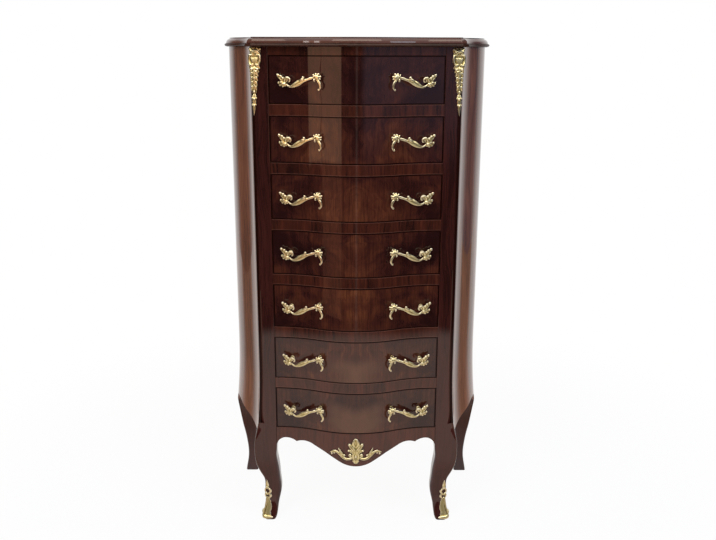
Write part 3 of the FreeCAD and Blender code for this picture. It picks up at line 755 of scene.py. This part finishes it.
def pullForm():
    # one pull: its leafy end is at negative x
    cast = bmesh.new()
    # the grooved bar
    blade(cast, [(-33, -6, 14), (-27.5, -11, 15.5), (-20, -14, 17), (-12, -12.2, 18), (-4, -8.2, 18.5),
                 (4, -4, 18.5), (11, -1.2, 18), (19, 1.2, 17), (27, 4.2, 16.5), (36, 6.6, 15)],
          [2.4, 2.2, 2.4, 4.2, 5.8, 5.8, 4.0, 2.6, 3.0, 3.2],
          [2.6, 2.4, 2.4, 2.8, 3.0, 3.0, 2.8, 2.4, 2.6, 2.8], ribs=3, groove=0.35)
    blade(cast, [(0, -4.6, 18), (6, -0.4, 19.5), (11, 2.8, 20), (12, 6.8, 19)], [2.2, 3.4, 3.2, 1.8],
          [1.8, 2.4, 2.4, 1.4])
    bead(cast, 11.8, 6.2, 19.6, 3.0)
    # the outer leaf and its lobes
    blade(cast, [(-32, -4, 14), (-36.5, -0.6, 16), (-41, 3.4, 17), (-45.4, 7.6, 16), (-49, 11.4, 14)],
          [4.2, 4.6, 4.4, 3.6, 2.2], [3.0, 3.2, 3.0, 2.6, 1.8], ribs=1, groove=0.4)
    for x, z, rise, radius in ((-48.6, 10.8, 16.5, 3.4), (-45.0, 4.8, 16.5, 2.8), (-41.4, 8.4, 17.6, 3.4),
                               (-36.4, 4.6, 18.2, 3.0), (-41.0, 0.2, 17.0, 2.6)):
        bead(cast, x, z, rise, radius)
    # the scroll with its eye
    blade(cast, [(-33, -6, 15), (-32.8, -0.4, 17), (-29.0, 5.0, 18.4), (-23.4, 5.4, 19), (-19.8, 1.4, 18.6),
                 (-21.4, -2.8, 18), (-25.2, -2.8, 17.6)],
          [2.0, 2.5, 2.7, 2.6, 2.2, 1.9, 1.4], [2.2, 2.6, 2.8, 2.6, 2.2, 1.8, 1.4])
    bead(cast, -26.4, 1.2, 17.8, 2.6)
    # the lower fan
    for tip, radius in (((-47.4, -5.8), 3.0), ((-43.8, -10.6), 3.2), ((-37.4, -12.6), 3.3),
                        ((-32.0, -11.4), 2.6)):
        blade(cast, [(-33, -4, 14.5), ((tip[0] - 33) / 2, (tip[1] - 4) / 2, 17), (*tip, 15)],
              [2.4, 2.8, 1.8], [2.2, 2.6, 1.8])
        bead(cast, *tip, 15.2, radius)
    # the cluster of small leaves at the inner end
    for tip, radius in (((34.4, 11.8), 2.6), ((40.2, 14.2), 2.6), ((46.4, 13.6), 2.9), ((51.2, 8.6), 2.6),
                        ((50.4, 3.0), 2.1)):
        blade(cast, [(39.4, 5.8, 15), ((tip[0] + 39.4) / 2, (tip[1] + 5.8) / 2, 18.2), (*tip, 15.6)],
              [2.0, 2.6, 1.5], [2.0, 2.6, 1.6])
        bead(cast, *tip, 16.0, radius * 0.9)
    bead(cast, 42.0, 6.6, 18.4, 3.4)
    blade(cast, [(38, 4, 15), (36.2, 0.2, 16), (38.2, -2.8, 15)], [2.2, 2.4, 1.2], [2.0, 2.2, 1.2])
    # the hook
    blade(cast, [(41, 5, 15.5), (45, 0, 17), (49, -5.6, 17.4), (50.6, -12, 16.8), (49, -17.4, 16),
                 (45.6, -20.6, 15)],
          [2.6, 3.0, 3.0, 2.7, 2.3, 1.5], [2.4, 2.8, 2.8, 2.6, 2.2, 1.6], ribs=1, groove=0.3)
    bead(cast, 46.2, -20.0, 15.4, 2.6)
    # two feet with flanges
    look = handleLook
    for x, z, radius in look["feet"]:
        stud(cast, x, z, radius, look["seat"], look["footTop"])
        stud(cast, x, z, radius + look["flangeOut"], look["seat"], look["flangeTop"])
    return fuse("pullForm", cast, look)


def faceDepth(x):
    # how far the serpentine stands forward of the posts' face at x: a bow between two hollows
    end, hollow, bow = case["halfOpening"], case["hollowRadius"], case["bowDepth"]
    bowRadius = (end ** 2 + bow ** 2) / (2 * bow) - hollow
    x = abs(x)
    if x > bowRadius * end / (hollow + bowRadius):
        return hollow - math.sqrt(hollow ** 2 - (end - x) ** 2)
    return bow - bowRadius + math.sqrt(bowRadius ** 2 - x ** 2)


def addHandles():
    form = pullForm()
    middleX = handleLook["fromMiddle"]
    faceY = case["faceY"] - faceDepth(middleX)
    yaw = math.asin((case["halfOpening"] - middleX) / case["hollowRadius"])
    lowestMiddle = case["lowestFloor"] + case["openingHeight"] / 2
    for drawer in range(1, case["drawers"] + 1):
        middleZ = lowestMiddle + (case["drawers"] - drawer) * case["pitch"]

        def onDrawer(x, rise, z):
            # the left pull, square to the drawer's hollow
            right, out = x / 1000, rise / 1000
            return (-middleX + right * math.cos(yaw) - out * math.sin(yaw),
                    faceY - right * math.sin(yaw) - out * math.cos(yaw), middleZ + z / 1000)

        addPiece(f"drawer_{drawer}_pulls", [laid(form, onDrawer), laid(form, onDrawer, mirrored=True)],
                 f"drawer_{drawer}", [f"drawer_{drawer}_handles"])
    form.free()


addHandles()
print("handles ready")

# on a corner mount x is outwards from its middle, and z is up from the top board's underside
cornerLook = {
    "middle": 0.2265,          # where the mount's middle line stands on the post
    "bend": 0.2355,            # from here it wraps round the corner
    "bendRadius": 0.0025,
    "bodyRise": 0.002,         # the height in the casting at which the wrap keeps its length
    "lean": 0.042,             # how much further out it stands for each metre down
    "grain": 0.7,
    "softening": 2,
}


def cornerForm():
    cast = bmesh.new()
    # the long backing leaf and the leaf of the drop
    blade(cast, [(0.6, 0, 0.2), (0.8, -16, 0.8), (1.0, -34, 1.0), (1.2, -48, 1.0), (1.0, -60, 1.0),
                 (0.6, -74, 1.0), (0.4, -90, 0.8), (0, -106, 0.4)],
          [13.6, 14.2, 13.6, 11.4, 9.4, 7.8, 6.8, 4.6], [2.4, 2.6, 2.8, 2.8, 2.8, 2.8, 2.6, 2.0],
          lobes=8, notch=0.2, ribs=3, groove=0.35)
    blade(cast, [(0, -102, 0.6), (0, -113, 1.2), (0, -122, 1.2), (0, -134, 1.0), (0, -153, 0.2)],
          [3.8, 5.8, 4.8, 3.6, 0.6], [1.8, 2.8, 2.6, 2.2, 0.9], lobes=3, notch=0.25, ribs=1, groove=0.35)
    # the crown on its two bands, and the leaf that crosses it
    for z, reach in ((-3.4, 13.0), (-8.6, 12.4)):
        blade(cast, [(0.8 - reach, z, 1.0), (-3.6, z + 0.2, 1.6), (5.2, z + 0.2, 1.6), (0.8 + reach, z, 1.0)],
              [2.8, 2.9, 2.9, 2.8], [1.6, 2.0, 2.0, 1.6])
    for x, z in ((-11.0, -3.4), (-4.2, -1.8), (4.6, -1.8), (12.2, -3.4)):
        blade(cast, [(1.0, -19, 2.4), ((x + 1.0) / 2, -10, 3.8), (x, z, 2.0)],
              [3.2, 4.0, 2.2], [1.8, 2.4, 1.4], ribs=1, groove=0.35)
        bead(cast, x, z - 1.4, 2.6, 2.5)
    blade(cast, [(-12, -17, 2.6), (-4, -11, 5.0), (4, -9, 5.4), (11, -13, 3.6)], [2.0, 3.2, 3.2, 1.8],
          [1.6, 2.2, 2.2, 1.4], ribs=1, groove=0.4)
    for side in (-1, 1):
        # the cartouche's scroll beside its shell
        blade(cast, [(1 + side * 4, -17, 3.0), (1 + side * 10, -18.6, 3.6), (1 + side * 12.4, -25, 3.6),
                     (1 + side * 11.4, -33, 3.4), (1 + side * 8.0, -40, 3.4), (1 + side * 2, -46, 3.0)],
              [1.8, 2.4, 2.6, 2.4, 2.2, 1.6], [1.8, 2.4, 2.6, 2.4, 2.2, 1.6])
        bead(cast, 1 + side * 12.0, -18.8, 3.4, 2.6)
        bead(cast, 1 + side * 5.0, -17.2, 3.8, 2.4)
        # the leaves down this edge
        for x, z in ((11.6, -45), (9.6, -53), (8.2, -62), (7.2, -72), (6.4, -82), (5.4, -92)):
            blade(cast, [(0.6, z + 8, 2.4), (0.6 + side * x * 0.6, z + 4.4, 4.2),
                         (0.6 + side * x, z - 1.6, 2.2)],
                  [2.0, 3.2, 1.4], [1.8, 2.4, 1.2], ribs=1, groove=0.35)
            bead(cast, 0.6 + side * x * 0.98, z - 1.0, 2.4, 1.9)
        for x, z in ((4.8, -112), (3.8, -127)):
            bead(cast, side * x, z, 2.0, 1.8)
    # the shell's ribs
    for lean in (-0.8, -0.4, 0.0, 0.4, 0.8):
        blade(cast, [(1, -42, 2.8), (1 + 5.6 * lean, -32, 3.0), (1 + 8.6 * lean, -23.5, 2.6)],
              [1.0, 1.8, 1.6], [1.2, 1.6, 1.2])
    # the rib down the middle with its beads
    blade(cast, [(1.0, -42, 3.2), (0.8, -56, 4.4), (0.6, -70, 4.6), (0.4, -86, 4.0), (0, -103, 3.0)],
          [2.0, 3.2, 3.2, 2.8, 2.0], [2.0, 2.6, 2.6, 2.4, 1.8], ribs=1, groove=0.3)
    for x, z, radius in ((-6.2, -48.4, 3.0), (-3.4, -53.4, 2.8), (0.4, -68.4, 3.2), (0.2, -84, 2.6),
                         (0.0, -98, 2.6), (6.2, -48.0, 3.0)):
        bead(cast, x, z, 4.8, radius)
    bead(cast, 0, -114, 3.4, 2.8)
    bead(cast, 0, -128, 3.0, 2.4)
    return fuse("cornerForm", cast, cornerLook)


def onCorner(x, rise, z):
    # flat on the post, round its corner and straight back; this is the right one
    look = cornerLook
    height = case["underTop"] + z / 1000
    out = look["middle"] + x / 1000 - look["lean"] * z / 1000
    rise = rise / 1000
    past = out - look["bend"]
    if past <= 0:
        return out, case["faceY"] - rise, height
    radius = look["bendRadius"]
    bodyRadius = radius + look["bodyRise"]
    turn = min(past / bodyRadius, math.pi / 2)
    back = max(past - bodyRadius * math.pi / 2, 0)
    return (look["bend"] + (radius + rise) * math.sin(turn),
            case["faceY"] + radius - (radius + rise) * math.cos(turn) + back, height)


def addCornerMounts():
    form = cornerForm()
    addPiece("rightCornerOrnament", [laid(form, onCorner)], "carcass", ["right_corner_mount"])
    addPiece("leftCornerOrnament", [laid(form, onCorner, mirrored=True)], "carcass", ["left_corner_mount"])
    form.free()


addCornerMounts()
print("corner mounts ready")

# on the apron mount x is from the chest's middle, and z is up from the floor
apronLook = {
    "grain": 0.6,
    "softening": 2,
    "bossZ": 198,
    "ringRadius": 6.0,
    "ringBeads": 12,
}


def apronForm():
    cast = bmesh.new()
    # the palmette: a pointed leaf with a pierced eye, side petals and a body
    for side in (-1, 1):
        blade(cast, [(0, 219, 1.4), (side * 5.8, 229, 2.6), (side * 5.0, 238, 2.4), (0, 245, 1.0)],
              [2.2, 3.4, 3.0, 1.0], [1.8, 2.4, 2.0, 1.0])
        blade(cast, [(0, 208, 2.0), (side * 7, 218, 3.6), (side * 15.0, 228.0, 2.0)], [3.0, 5.4, 4.4],
              [2.0, 2.8, 1.8], ribs=1, groove=0.4)
        bead(cast, side * 15.6, 228.6, 2.6, 4.0)
        blade(cast, [(0, 204, 2.0), (side * 8, 210, 3.4), (side * 17, 212.6, 1.8)], [3.0, 4.6, 2.6],
              [2.0, 2.6, 1.4], ribs=1, groove=0.4)
        bead(cast, side * 17.4, 213, 2.2, 3.2)
        blade(cast, [(side * 2, 212, 2.4), (side * 5.6, 205, 3.4), (side * 6.4, 196, 3.2),
                     (side * 3, 187, 2.4)],
              [1.6, 2.8, 2.8, 1.6], [1.8, 2.4, 2.4, 1.8])
        # the branch, its small leaf and its buds
        blade(cast, [(side * 5, 198, 2.2), (side * 12, 192.6, 3.0), (side * 21, 190.4, 3.4),
                     (side * 30, 193.4, 3.4), (side * 38, 200.6, 3.2), (side * 46, 208.0, 2.8),
                     (side * 55, 210.0, 2.2), (side * 66, 203.6, 1.2)],
              [2.4, 3.2, 3.4, 3.4, 3.2, 3.0, 2.6, 1.0], [2.0, 2.4, 2.6, 2.6, 2.4, 2.2, 1.8, 0.9],
              ribs=1, groove=0.4)
        blade(cast, [(side * 30, 197, 2.4), (side * 35.4, 205, 3.4), (side * 39.4, 212, 2.6),
                     (side * 43.4, 219, 1.4)],
              [2.2, 3.4, 2.6, 1.0], [2.0, 2.4, 1.8, 0.9], ribs=1, groove=0.35)
        for x, z, rise, radius in ((14.2, 201.0, 3.0, 4.4), (28.4, 200.4, 3.0, 3.0), (53.6, 205.8, 2.6, 2.8),
                                   (59.6, 202.4, 2.0, 2.6)):
            bead(cast, side * x, z, rise, radius)
    blade(cast, [(0, 219, 0.8), (0, 230, 1.2), (0, 242, 0.6)], [3.4, 5.0, 2.0], [1.2, 1.4, 1.0])
    blade(cast, [(0, 220, 2.0), (0, 212, 3.4), (0, 204, 3.4), (0, 199, 2.4)], [4.0, 6.6, 6.8, 4.0],
          [2.0, 2.8, 2.8, 2.0], ribs=2, groove=0.4)
    # the boss in its ring of small beads, and the petal below it
    look = apronLook
    for step in range(look["ringBeads"]):
        turn = math.radians(360 / look["ringBeads"] * step)
        bead(cast, look["ringRadius"] * math.cos(turn), look["bossZ"] + look["ringRadius"] * math.sin(turn),
             3.6, 1.7)
    bead(cast, 0, look["bossZ"], 4.2, 3.6)
    blade(cast, [(0, 195, 2.0), (0, 188, 3.6), (0, 182, 3.0), (0, 177.0, 1.4)], [6.8, 8.6, 7.2, 2.4],
          [2.0, 2.8, 2.4, 1.0], lobes=3, notch=0.2, ribs=3, groove=0.4)
    return fuse("apronForm", cast, look)


def onApron(x, rise, z):
    # straight back on the serpentine
    return x / 1000, case["faceY"] - faceDepth(x / 1000) - rise / 1000, z / 1000


def addApronMount():
    form = apronForm()
    addPiece("apronOrnament", [laid(form, onApron)], "carcass", ["apron_mount"])
    form.free()


addApronMount()
print("apron mount ready")

# on a sabot x is across the foot's outer corner, and z is up from the floor
sabotLook = {
    "corner": (0.2335, -0.1065),   # a place on the line up the outer corner, inside the leg
    "reach": 0.09,                 # from there to outside the leg
    "floorGap": 0.0005,            # the lowest height it is laid at
    "grain": 0.65,
    "softening": 2,
}


def sabotForm():
    cast = bmesh.new()
    # the ribbed leaf up from the toe
    blade(cast, [(0, 1.5, 0), (0, 14, 0.8), (0, 30, 1.0), (0, 44, 1.0), (0, 55, 0.4)],
          [20, 17.6, 13.6, 9, 1.6], [2.4, 2.6, 2.6, 2.2, 1.2], lobes=3, notch=0.12, ribs=4, groove=0.5)
    blade(cast, [(0, 3, 2.6), (0, 22, 3.2), (0, 40, 2.8), (0, 54, 1.6)], [2.6, 2.4, 2.0, 1.0],
          [1.6, 1.6, 1.4, 0.8])
    # the roll round the toe
    blade(cast, [(-24, 5, 0.5), (-12, 6.4, 2.2), (0, 7.2, 3.8), (12, 6.8, 3.4), (22, 6.4, 1.5)],
          [2.2, 4.0, 5.0, 5.0, 3.6], [2.0, 2.8, 3.4, 3.4, 2.4])
    bead(cast, 13, 8.4, 5.4, 5.2)
    # pierced strapwork above
    for side in (-1, 1):
        blade(cast, [(side * 2, 50, 1.2), (side * 6.6, 56, 1.8), (side * 5.4, 62, 2.0), (0, 65.5, 2.0)],
              [1.5, 2.2, 2.0, 1.5], [1.4, 2.0, 2.0, 1.6])
        blade(cast, [(0, 64, 1.8), (side * 5.6, 68, 2.0), (side * 5.4, 75, 2.0), (0, 80, 1.8)],
              [1.4, 2.1, 2.1, 1.4], [1.4, 2.0, 2.0, 1.6])
    bead(cast, 0, 62.5, 2.4, 2.8)
    bead(cast, 0, 81.5, 2.4, 4.0)
    # the leaf at its top
    blade(cast, [(0, 82, 1.6), (0, 90, 2.4), (0, 97, 1.8), (0, 104, 0.6)], [3.0, 4.0, 2.4, 0.6],
          [1.8, 2.2, 1.6, 0.7], ribs=1, groove=0.35)
    return fuse("sabotForm", cast, sabotLook)


def addSabots():
    form = sabotForm()
    leg = nodes["right_front_leg"].data
    tree = BVHTree.FromPolygons([vert.co for vert in leg.vertices],
                                [tuple(face.vertices) for face in leg.polygons])
    outward = Vector((1, -1, 0)).normalized()
    sideways = Vector((1, 1, 0)).normalized()
    start = Vector((*sabotLook["corner"], 0))

    def onFoot(x, rise, z):
        # dropped on the leg from outside its corner; this is the right one
        height = max(z / 1000, sabotLook["floorGap"])
        away = start + sideways * (x / 1000) + outward * sabotLook["reach"] + Vector((0, 0, height))
        spot, normal = tree.ray_cast(away, -outward)[:2]
        if spot is None:
            spot, normal = tree.find_nearest(away - outward * sabotLook["reach"])[:2]
        if normal.dot(outward) < 0:
            normal = -normal
        lift = (outward + normal).normalized()
        return spot + lift * (rise / 1000)

    addPiece("rightSabotOrnament", [laid(form, onFoot)], "carcass", ["right_sabot"])
    addPiece("leftSabotOrnament", [laid(form, onFoot, mirrored=True)], "carcass", ["left_sabot"])
    form.free()


addSabots()
print("sabots ready")
